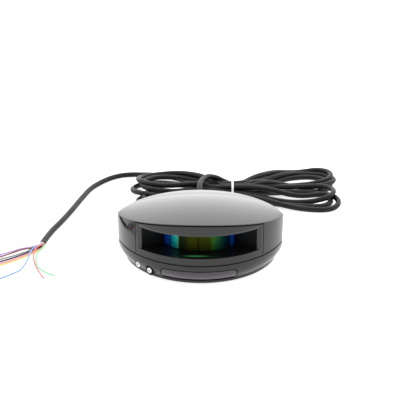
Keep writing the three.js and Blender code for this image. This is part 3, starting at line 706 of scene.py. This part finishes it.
def front_bezel():
    half, low = BEZEL_HIGH.x, BEZEL_LOW.z
    gap = LIP + LIP_GAP
    chamfer = 0.25
    step = 2.0  # height of the sloped band over the opening
    flare = OPENING_FLARE
    wide, bottom, top = OPENING

    def crest(x, less=0):
        return roof(x, front_wall(x, 0)) - gap - less

    outer = bezel_loop(half - chamfer, low + chamfer, 0, 0, lambda x: crest(x, chamfer))
    inner = bezel_loop(flare, bottom - chamfer, top + step, 0)
    loops = [
        bezel_loop(half, low, 0, BEZEL_DEPTH, crest),
        bezel_loop(half, low, 0, chamfer, crest),
        outer,
        between(outer, inner, 0.3),
        between(outer, inner, 0.6),
        between(outer, inner, 0.85),
        inner,
        bezel_loop(wide + 0.3, bottom, top + 0.1, 1.0),
        bezel_loop(wide, bottom, top, 1.3),
        bezel_loop(wide, bottom, top, BEZEL_DEPTH),
    ]
    bezel = loft("scan_bezel", loops, closed=True)
    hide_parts("front_bezel")
    return bezel, "head", "gloss_black"


def arc_points(radius, centre_y, from_x, to_x, steps):
    """Points of the front arc of a circle centred on x = 0, evenly spaced in angle."""
    start, end = math.asin(from_x / radius), math.asin(to_x / radius)
    return [(radius * math.sin(a), centre_y - radius * math.cos(a)) for a in span(start, end, steps)]


def prism(name, plan, levels):
    """Upright prism through (z, scale about the plan's middle) levels."""
    middle = Vector((sum(p[0] for p in plan) / len(plan), sum(p[1] for p in plan) / len(plan)))
    rings = []
    for z, less in levels:
        ring = []
        for x, y in plan:
            away = Vector((x, y)) - middle
            away -= away.normalized() * less
            ring.append((middle.x + away.x, middle.y + away.y, z))
        rings.append(ring)
    return loft(name, rings)


def recess_plate(name, low, high):
    half = OPENING[0]
    front = arc_points(OUTLINE.radius - BEZEL_DEPTH - SEAM, OUTLINE.centre, -half, half, 64)
    back = arc_points(PANE_INNER - 0.7, SPIN_Y, 27.2, -27.2, 48)
    return prism(name, front + back, [(low, 0), (high, 0)])


def recess_side(sign):
    plan = [(41.6, -27.4), (43.5, -26.0), (28.8, -17.2), (27.2, -17.9), (41.0, -26.9)]
    side = [(sign * x, y) for x, y in plan]
    return prism("recess_side", side, [(RECESS_LOW.z, 0), (RECESS_HIGH.z, 0)])


def scan_recess():
    floor = RECESS_LOW.z + 2.1
    ceiling = RECESS_HIGH.z - 1.0
    recess = recess_plate("scan_tray", RECESS_LOW.z, floor)
    tools = [
        recess_plate("tray_roof", ceiling, RECESS_HIGH.z),
        recess_side(1),
        recess_side(-1),
    ]
    carve(recess, *tools, operation="UNION")
    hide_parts("scan_recess")
    return recess, "head", "recess_black"


def laser_window():
    pane_low, pane_high = PANE_LOW.z, PANE_HIGH.z
    chamfer = 0.2
    rings = []
    outline = [
        (PANE_INNER, pane_low), (PANE_OUTER - chamfer, pane_low), (PANE_OUTER, pane_low + chamfer),
        (PANE_OUTER, pane_high - chamfer), (PANE_OUTER - chamfer, pane_high), (PANE_INNER, pane_high),
    ]
    for a in span(-PANE_ANGLE, PANE_ANGLE, 96):
        rings.append([(r * math.sin(a), SPIN_Y - r * math.cos(a), z) for r, z in outline])
    pane = loft("scan_pane", rings)
    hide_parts("laser_window")
    return pane, "head", "scan_glass"


def skirt_body(name, distance, levels, stations=110):
    return loft(name, [skirt(z, distance + extra).ring(z, stations) for z, extra in levels])


def signal_tool(margin, name="signal_tool"):
    half_x = SIGNAL_HIGH.x + SEAM + margin
    middle = (SIGNAL_LOW.z + SIGNAL_HIGH.z) / 2
    half_z = (SIGNAL_HIGH.z - SIGNAL_LOW.z) / 2 + SEAM + margin
    outline = rounded_rectangle(half_x, half_z, 3.2 + margin, 8)
    block = loft(name, [[(a, y, middle + b) for a, b in outline] for y in (-30, -60)])
    core = skirt_body("core", WALL + 0.2, [(z, 0) for z in span(0, 17, 12)], 64)
    return carve(block, core)


def wall_axis(place):
    x, level = place
    outline = skirt(level)
    point = Vector((x, -outline.reach(x), level))
    return Axis(point, Vector((x, point.y - outline.centre, 0)))


def screw_pocket(place, radius, depth):
    profile = [(radius - 0.3, -depth, "round"), (radius, -depth + 0.3, "round"),
               (radius, -0.35, "round"), (radius + 0.5, 0.35, "round"), (radius + 0.5, 5, "round")]
    return turn_piece("pocket", wall_axis(place), profile)


def pocket_rim(place, radius):
    """The raised collar round a screw pocket."""
    profile = [(radius, -2.2, "round"), (radius, -0.1, "round"), (radius - 0.25, 0.15, "round"),
               (radius - 0.8, 0.25, "round")]
    return turn_piece("collar", wall_axis(place), profile)


def bottom_housing():
    bottom, top = HOUSING_LOW.z, HOUSING_TOP
    levels = [(bottom, 0.9), (bottom + 0.12, 0.5), (bottom + 0.4, 0.2), (bottom + 0.9, 0)]
    levels += [(z, 0) for z in span(bottom + 1.6, top - 0.3, 14)]
    levels += [(top, 0.3)]
    shell = skirt_body("skirt_shell", 0, levels)
    carve(shell, pocket_rim(ADJUST, 4.4), operation="UNION")
    hollow = skirt_body("hollow", WALL, [(z, 0) for z in span(HOUSING_FLOOR, 20, 8)], 48)
    gland = turn_piece("hole", Axis((0, 0, EXIT[2]), (0, 1, 0)), [(4.5, 30, "round"), (4.5, 60, "round")])
    swivel = turn_piece("swivel", Axis((0, 0, 0), (0, 0, 1)), [(14.4, 0, "round"), (14.4, 8, "round")])
    well = loft("well", [Lens(*WELL, 4.6).ring(z) for z in (0, FOOT)])
    pockets = [screw_pocket(LOCK, 2.45, 2.4), screw_pocket(ADJUST, 3.5, 2.6)]
    carve(shell, hollow, well, signal_tool(0), *pockets, gland, swivel)
    soften(shell, 0.14, 60)
    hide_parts("bottom_housing")
    return shell, "head", "gloss_black"


def signal_window():
    low, high = SIGNAL_LOW.z - 1, SIGNAL_HIGH.z + 1
    plate = skirt_body("signal_lens", 0.1, [(z, 0) for z in span(low, high, 16)])
    core = skirt_body("core", 1.9, [(z, 0) for z in span(low - 1, high + 1, 8)], 64)
    carve(plate, core)
    carve(plate, signal_tool(-0.7, "trim"), operation="INTERSECT")
    soften(plate, 0.6, 55, 3)
    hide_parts("signal_window")
    return plate, "head", "signal_tint"


def housing_seal():
    low, high = SEAL_LOW.z, SEAL_HIGH.z
    middle = (low + high) / 2
    steps = [(0.9, low), (0.75, middle), (0.9, high), (2.4, high), (2.4, low)]
    seal = loft("seam_seal", [inset(d).ring(z) for d, z in steps], closed=True)
    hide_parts("housing_seal")
    return seal, "head", "seal_rubber"


def base_plate():
    half_length, half_width = PLATE_HIGH.x, PLATE_HIGH.y
    steps = [(0, 0.8), (0.15, 0.4), (0.5, 0.1), (0.9, 0), (PLATE_TOP - 0.5, 0), (PLATE_TOP - 0.15, 0.15),
             (PLATE_TOP, 0.5)]
    rings = [Lens(half_length - d, half_width - d, 4.6).ring(z) for z, d in steps]
    plate = loft("swivel_base", rings)
    boss = turn_piece("boss", Axis((0, 0, 0), (0, 0, 1)), [(14, 2, "round"), (14, 5.5, "round")])
    carve(plate, boss, operation="UNION")
    hole = turn_piece("hole", Axis((0, 0, 0), (0, 0, 1)), [(8, -1, "round"), (8, 9, "round")])
    slots = []
    for x in (-38, 38):
        outline = rounded_rectangle(2.3, 7, 2.2)
        slots.append(loft("slot", [[(x + a, 6 + b, z) for a, b in outline] for z in (-1, 9)]))
    carve(plate, hole, *slots)
    soften(plate, 0.25, 60)
    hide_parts("base_plate")
    return plate, "base", "base_black"


def socket_screw(name, node, place, top):
    """Cap screw with a hexagon socket; its shank is hidden in the wall."""
    seat = -1.7
    profile = [
        (0.05, -14, "round"), (0.95, -14, "round"), (1.25, -13.6, "round"), (1.25, seat, "round"),
        (1.95, seat, "round"), (2.1, seat + 0.15, "round"), (2.1, top - 0.45, "round"),
        (2.02, top - 0.2, "round"), (1.8, top - 0.04, "round"), (1.55, top, "round"), (1.3, top, "round"),
        (1.12, top - 0.12, "hex"), (1.05, top - 0.3, "hex"), (1.05, top - 1.2, "hex"),
        (0.05, top - 1.35, "hex"),
    ]
    screw = turn_piece(name, wall_axis(place), profile)
    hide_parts(node)
    return screw, node, "screw_chrome"


# ---------- cable gland and strain relief ----------

def gland():
    axis = Axis((0, 0, EXIT[2]), (0, 1, 0))
    profile = [
        (4.2, 37.6, "round"), (4.2, 46.8, "round"), (5.6, 46.8, "hex"), (5.9, 47.1, "hex"),
        (5.9, 49.6, "hex"),
        (5.5, 50.0, "hex"), (4.9, 50.1, "round"), (5.1, 50.4, "round"), (5.1, 51.4, "round"),
        (4.95, 52.6, "round"), (4.5, 53.6, "round"), (3.9, 54.0, "round"),
    ]
    made = turn_piece("cable_gland", axis, profile, 60)
    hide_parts("gland_body")
    return made, "head", "base_black"


def strain_relief():
    """Tapered sleeve with grooves round it."""
    axis = Axis((0, 0, EXIT[2]), (0, 1, 0))
    start, end = 54.3, EXIT[1] - 0.3
    profile = [(3.6, start, "round"), (3.95, start + 0.3, "round")]
    grooves = 6
    pitch = (end - start - 4) / grooves
    for k in range(grooves):
        at = start + 2 + k * pitch
        full = 4.0 - 1.0 * (at - start) / (end - start)
        profile += [(full, at, "round"), (full - 0.6, at + 0.25, "round"), (full - 0.6, at + 0.95, "round"),
                    (full - 0.06, at + 1.2, "round")]
    profile += [(2.95, end - 0.6, "round"), (2.7, end, "round")]
    made = turn_piece("strain_sleeve", axis, profile, 40)
    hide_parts("strain_relief")
    return made, "head", "seal_rubber"


# ---------- cable: lead, folded hank and tail in one length ----------

# The bundle, the tail and the wires lie turned about the module by this angle.
CABLE_TURN = math.radians(1.5)
LEAD_ROUTE = [
    (0, 74.3, 11),
    (0, 80, 11.6),
    (-1.5, 88, 13.5),
    (-3, 96, 17),
    (-3, 107, 18.8),
    (-1.5, 117, 18.9),
    (1.5, 125.5, 18.5),
    (6, 132, 18),
]
# From the lead's end down the bundle's far side.
DROP_ROUTE = [(12, 134.5, 14), (19, 133.2, 10.5)]
TAIL_ROUTE = [
    (-57.5, 173.4, CORD_Z),
    (-66, 173.6, CORD_Z),
    (-77, 170.5, CORD_Z),
    (-86, 163, CORD_Z),
    (-93.5, 152.5, CORD_Z),
    (-100.5, 138, CORD_Z),
    (-106, 115, CORD_Z),
    (-111, 89, CORD_Z),
    (-116, 66, CORD_Z),
    (-121, 46.5, CORD_Z),
    (-124, 30, CORD_Z),
    (-125.2, 20.6, CORD_Z),
]
TIE_X, TIE_Y = 25.8, 120.6
TIE_LAYERS = [3.7, 7.9, 12.1]
TIE_GRIP = 16  # how far along the cable its layer in the tie still shows
# Each pass through the tie, in the cable's order: place across the bundle, and layer.
PASSES = [
    (10, 1), (5, 1), (2.5, 0), (7.5, 2), (-5, 1), (2.5, 2),
    (-10, 1), (-2.5, 2), (-7.5, 0), (-2.5, 0), (0, 1), (7.5, 0),
]
# Each fold: side, y going out, y coming back, and the x of its end.
FOLDS = [
    (1, 182, 149, 119),
    (-1, 165, 125, -61),
    (1, 141, 176, 121),
    (-1, 158, 118, -57),
    (1, 105, 134, 116),
    (-1, 151, 111, -65),
    (1, 91, 120, 119),
    (-1, 126, 97, -53),
    (1, 98, 127, 113),
    (-1, 90, 120, -58),
    (1, 132, 169, 117),
]
# How a strand spreads between the tie and a fold: share of the way along, share of the way across.
SPREAD = [(0.15, 0.09), (0.34, 0.36), (0.56, 0.7), (0.8, 0.94)]
LAST_PASS = [(11, 137), (-5, 148), (-21, 159), (-37, 168), (-50, 171.5)]


def swung(points):
    along, aside = math.cos(CABLE_TURN), math.sin(CABLE_TURN)
    return [(x * along - y * aside, x * aside + y * along, *height) for x, y, *height in points]


def spline(points, step):
    """Centripetal Catmull-Rom curve through the points, sampled about every step."""
    p = np.array(points, float)
    p = np.vstack([2 * p[0] - p[1], p, 2 * p[-1] - p[-2]])
    samples = []
    for i in range(1, len(p) - 2):
        a, b, c, d = p[i - 1], p[i], p[i + 1], p[i + 2]
        t0 = 0.0
        t1 = t0 + math.sqrt(np.linalg.norm(b - a))
        t2 = t1 + math.sqrt(np.linalg.norm(c - b))
        t3 = t2 + math.sqrt(np.linalg.norm(d - c))
        count = max(1, int(np.linalg.norm(c - b) / step))
        for t in np.linspace(t1, t2, count, endpoint=False):
            ab = (t1 - t) / (t1 - t0) * a + (t - t0) / (t1 - t0) * b
            bc = (t2 - t) / (t2 - t1) * b + (t - t1) / (t2 - t1) * c
            cd = (t3 - t) / (t3 - t2) * c + (t - t2) / (t3 - t2) * d
            abc = (t2 - t) / (t2 - t0) * ab + (t - t0) / (t2 - t0) * bc
            bcd = (t3 - t) / (t3 - t1) * bc + (t - t1) / (t3 - t1) * cd
            samples.append((t2 - t) / (t2 - t1) * abc + (t - t1) / (t2 - t1) * bcd)
    samples.append(p[-2])
    return np.array(samples)


def fold(side, from_y, to_y, out_y, back_y, end_x):
    """Plan of one fold: out from the tie, round its end and back to the tie."""
    half = (back_y - out_y) / 2
    long = min(abs(half), 22)
    centre = (end_x - side * long, (out_y + back_y) / 2)
    reach = side * abs(centre[0] - TIE_X)
    points = [(TIE_X, TIE_Y + from_y)]
    for along, aside in SPREAD:
        points.append((TIE_X + reach * along, TIE_Y + from_y + (out_y - TIE_Y - from_y) * aside))
    for degrees in range(-90, 91, 30):
        angle = math.radians(degrees)
        points.append((centre[0] + side * long * math.cos(angle), centre[1] + half * math.sin(angle)))
    for along, aside in reversed(SPREAD):
        points.append((TIE_X + reach * along, TIE_Y + to_y + (back_y - TIE_Y - to_y) * aside))
    return points


def hank_plan():
    plan = []
    for k, (side, out_y, back_y, end_x) in enumerate(FOLDS):
        plan += fold(side, PASSES[k][0], PASSES[k + 1][0], out_y, back_y, end_x)
    return plan + [(TIE_X, TIE_Y + PASSES[-1][0])] + LAST_PASS


def running_mean(values, reach):
    padded = np.pad(values, reach, mode="edge")
    return np.mean([padded[i : i + len(values)] for i in range(2 * reach + 1)], axis=0)


def settled(heights, least):
    """Spreads each rise along the cable, as its stiffness does."""
    padded = np.pad(heights, 2, mode="edge")
    raised = np.max([padded[i : i + len(heights)] for i in range(5)], axis=0)
    smooth = running_mean(running_mean(raised, 3), 3)
    return np.maximum(smooth, np.maximum(heights - 0.6, least))


def tie_crossings(plan):
    """Where the path passes the tie."""
    found = []
    for i in range(len(plan) - 1):
        crosses = (plan[i][0] - TIE_X) * (plan[i + 1][0] - TIE_X) <= 0
        if crosses and abs(plan[i][1] - TIE_Y) < 16 and (not found or i - found[-1] > 4):
            found.append(i)
    return found


def travel_along(points):
    return np.concatenate([[0], np.cumsum(np.linalg.norm(np.diff(points, axis=0), axis=1))])


def tie_hold(plan, travel):
    """How firmly the tie holds each point, from 0 to 1, and the layer that it holds it at."""
    hold = np.zeros(len(plan))
    layer = np.full(len(plan), CORD_Z)
    for (_, level), i in zip(PASSES, tie_crossings(plan)):
        near = np.exp(-(((travel - travel[i]) / TIE_GRIP) ** 4))
        layer = np.where(near > hold, TIE_LAYERS[level], layer)
        hold = np.maximum(hold, near)
    return hold, layer


def resting_heights(plan, least, hold):
    """Lays the cable from its far end, on the floor and over what already lies there."""
    heights = np.array(least)
    count = len(plan)
    done = count
    while done > 0:
        start = max(0, done - 24)
        for i in range(done - 1, start - 1, -1):
            under = slice(min(count, i + 14), count)
            gap = np.linalg.norm(plan[under] - plan[i], axis=1)
            near = (gap < 0.98 * CORD) & (hold[under] < 0.5)
            if near.any() and hold[i] < 0.5:
                lift = heights[under][near] + np.sqrt(CORD**2 - gap[near] ** 2)
                heights[i] = max(least[i], lift.max())
        window = slice(start, min(count, done + 8))
        heights[start:done] = settled(heights[window], least[window])[: done - start]
        done = start
    return heights


def cable_path():
    """The whole cable: the lead, the drop, the folded bundle and the tail."""
    start = np.array(LEAD_ROUTE + DROP_ROUTE)
    tail = swung(TAIL_ROUTE)
    plan = [tuple(p[:2]) for p in start] + hank_plan() + [p[:2] for p in tail]
    samples = spline([(x, y, 0) for x, y in plan], 2.2)[:, :2]
    travel = travel_along(samples)
    start_travel = travel_along(start[:, :2])
    hold, layer = tie_hold(samples, travel)
    least = CORD_Z + (layer - CORD_Z) * hold
    heights = resting_heights(samples, least, hold)
    heights = hold * layer + (1 - hold) * heights
    for _ in range(3):
        heights = running_mean(heights, 4)
    on_lead = np.clip((start_travel[-1] + 12 - travel) / 12, 0, 1)
    lead_heights = running_mean(running_mean(np.interp(travel, start_travel, start[:, 2]), 2), 2)
    heights = on_lead * lead_heights + (1 - on_lead) * np.maximum(heights, CORD_Z)
    return np.column_stack([samples, heights])


def round_curve(name, points, radius, resolution=4):
    """A round cord as a curve of one open spline."""
    data = bpy.data.curves.new(name, "CURVE")
    data.dimensions = "3D"
    data.bevel_depth = radius * MM
    data.bevel_resolution = resolution
    data.use_fill_caps = True
    line = data.splines.new("POLY")
    line.points.add(len(points) - 1)
    for point, place in zip(line.points, points):
        point.co = (*(float(v) * MM for v in place), 1)
    line.use_smooth = True
    obj = bpy.data.objects.new(name, data)
    bpy.context.scene.collection.objects.link(obj)
    return obj


# ---------- wires ----------

JACKET_END = (-125.2, 20.1)
ASIDE = (0.992, -0.127)
LAYERS = [WIRE_Z, WIRE_Z + 1.35, WIRE_Z + 2.7]
WIRES = {
    "wire_yellow": (
        1.95, 0,
        [(-125.8, 13.5), (-132.6, 4.6), (-141.6, -5.2), (-151.2, -13.2), (-163, -20), (-174, -24.5)],
    ),
    "wire_pink": (
        0.65, 0,
        [(-127.6, 14), (-134, 5.6), (-142.4, -3), (-152, -10.3), (-164, -16.6), (-176, -20.5)],
    ),
    "wire_black": (
        -0.65, 0,
        [(-129.4, 14.6), (-135.6, 7.2), (-144, -0.6), (-153, -7.2), (-165, -12.8), (-177, -16)],
    ),
    "wire_grey": (
        -1.95, 0,
        [(-131, 15.4), (-137.4, 8.8), (-145.6, 2.2), (-154, -3.4), (-166, -8.6), (-177, -11.5)],
    ),
    "wire_brown": (
        -0.65, 1,
        [(-128.6, 15), (-139, 11), (-147, 5.4), (-155, 0.6), (-166, -4), (-176, -7)],
    ),
    "wire_purple": (
        -1.95, 1,
        [(-130.2, 15.6), (-139.6, 13), (-147.6, 8.4), (-156, 4), (-166, 0.4), (-175, -2)],
    ),
    "wire_white": (
        -1.3, 2,
        [(-130, 15.4), (-139, 15), (-148, 12.6), (-157, 8.6), (-166, 5.4), (-174, 3)],
    ),
    "wire_blue": (
        0, 2,
        [(-129.2, 13.4), (-131.2, 5.6), (-131.6, -6.4), (-134.5, -20.4), (-140.2, -28), (-147, -34.6)],
    ),
    "wire_red": (
        1.3, 2,
        [(-127.4, 13.2), (-128.5, 5.4), (-127.2, -5), (-123.2, -16.6), (-119, -25.6), (-114.8, -34)],
    ),
    "wire_green": (
        1.95, 1,
        [(-124, 13), (-126.3, 4.6), (-125.2, -6), (-121.2, -17), (-115, -24.4), (-107.6, -29.8)],
    ),
}
TIP_LENGTH = 3.0


def wire_route(across, layer, route):
    start = (JACKET_END[0] + across * ASIDE[0], JACKET_END[1] + across * ASIDE[1])
    straight = (start[0] + 2 * ASIDE[1], start[1] - 2 * ASIDE[0])
    height = LAYERS[layer]
    drop = [height] * 4 + [WIRE_Z + (height - WIRE_Z) * 0.55]
    points = [start, straight, *route]
    return swung([(x, y, drop[i] if i < len(drop) else WIRE_Z) for i, (x, y) in enumerate(points)])


def wire_tip(name, points, looks):
    """The tinned copper end that shows past the insulation."""
    end, before = Vector(points[-1]), Vector(points[-4])
    axis = Axis(end, end - before)
    profile = [(0.3, -1, "round"), (0.3, 0, "round"), (0.33, 0.3, "round"), (0.28, TIP_LENGTH - 0.3, "round"),
               (0.12, TIP_LENGTH, "round")]
    tip = turn_piece(name + "_tip", axis, profile, 12)
    finish_piece(tip, "head", "steel", looks)
    return tip


def add_wire(name, looks):
    across, layer, route = WIRES[name]
    points = spline(wire_route(across, layer, route), 0.8)
    wire = round_curve(name + "_lead", points, WIRE / 2, 3)
    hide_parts(name)
    finish_piece(wire, "head", name, looks)
    tip = wire_tip(name, points, looks)


# ---------- tie and the jacket's stripped end ----------

def bundle_tie():
    """White twist tie: a flat band round the bundle; tie_tail makes its two twisted tails."""
    band = []
    for a, b in rounded_rectangle(13.2, 7.6, 4.5, 10):
        band.append((TIE_Y + a, 8.0 + b))
    inner = []
    for a, b in rounded_rectangle(12.5, 6.9, 3.9, 10):
        inner.append((TIE_Y + a, 8.0 + b))
    half = 0.95
    rings = [
        [(TIE_X - half, y, z) for y, z in inner],
        [(TIE_X - half, y, z) for y, z in band],
        [(TIE_X + half, y, z) for y, z in band],
        [(TIE_X + half, y, z) for y, z in inner],
    ]
    return loft("twist_tie", rings, closed=True)


def tie_tail(phase, name):
    points = []
    for i in range(40):
        t = i / 39
        angle = phase + 5.5 * math.pi * t
        y = TIE_Y + 6 + 15 * t
        points.append((TIE_X + 0.6 * math.cos(angle), y, 14.2 - 8.0 * t * t + 0.6 * math.sin(angle)))
    return round_curve(name, points, 0.45, 2)


def jacket_end():
    """Filler and foil that show where the jacket is cut."""
    before, end = (Vector(point) for point in swung(TAIL_ROUTE)[-2:])
    axis = Axis(end, end - before)
    profile = [(1.9, -0.5, "round"), (1.95, 0.1, "round"), (1.75, 0.9, "round"), (1.2, 1.2, "round"),
               (0.1, 1.0, "round")]
    return turn_piece("jacket_filler", axis, profile, 24)


# ---------- putting it together ----------

def finish_piece(obj, body, slot, looks):
    obj.data.materials.clear()
    obj.data.materials.append(looks[slot])
    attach(obj, body)


def add_cable(looks):
    path = cable_path()
    cable = round_curve("cable", path, CORD / 2, 5)
    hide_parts("cable_lead", "cable_hank", "cable_tail")
    finish_piece(cable, "head", "cable_jacket", looks)
    sleeve, _, slot_name = strain_relief()
    finish_piece(sleeve, "head", slot_name, looks)
    body, _, slot_name = gland()
    finish_piece(body, "head", slot_name, looks)
    tie = bundle_tie()
    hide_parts("cable_tie")
    tails = [tie_tail(0, "tie_tail_a"), tie_tail(math.pi, "tie_tail_b")]
    filler = jacket_end()
    for piece in [tie, *tails, filler]:
        finish_piece(piece, "head", "tie_white", looks)


def add_housing(looks):
    builders = (top_cover, front_bezel, scan_recess, laser_window)
    builders += (bottom_housing, signal_window, housing_seal, base_plate)
    for build in builders:
        piece, body, slot = build()
        finish_piece(piece, body, slot, looks)
    for name, node, place, top in (("lock_cap_screw", "lock_screw", LOCK, 0.3),
                                   ("adjust_cap_screw", "adjust_screw", ADJUST, 1.2)):
        piece, body, slot = socket_screw(name, node, place, top)
        finish_piece(piece, body, slot, looks)


def dress_cad_nodes(looks):
    """The inner pieces keep their CAD solids and get their slot's material."""
    slots = {part["node"]: part["material_slot"] for part in frame["record"]["subparts"]}
    for name, obj in frame["nodes"].items():
        if obj.hide_render:
            continue
        for holder in obj.material_slots:
            holder.link = "OBJECT"
            holder.material = looks[slots[name]]


add_camera()
add_world()
add_floor()
LOOKS = make_materials()
add_cable(LOOKS)
for wire_name in WIRES:
    add_wire(wire_name, LOOKS)
add_housing(LOOKS)
dress_cad_nodes(LOOKS)
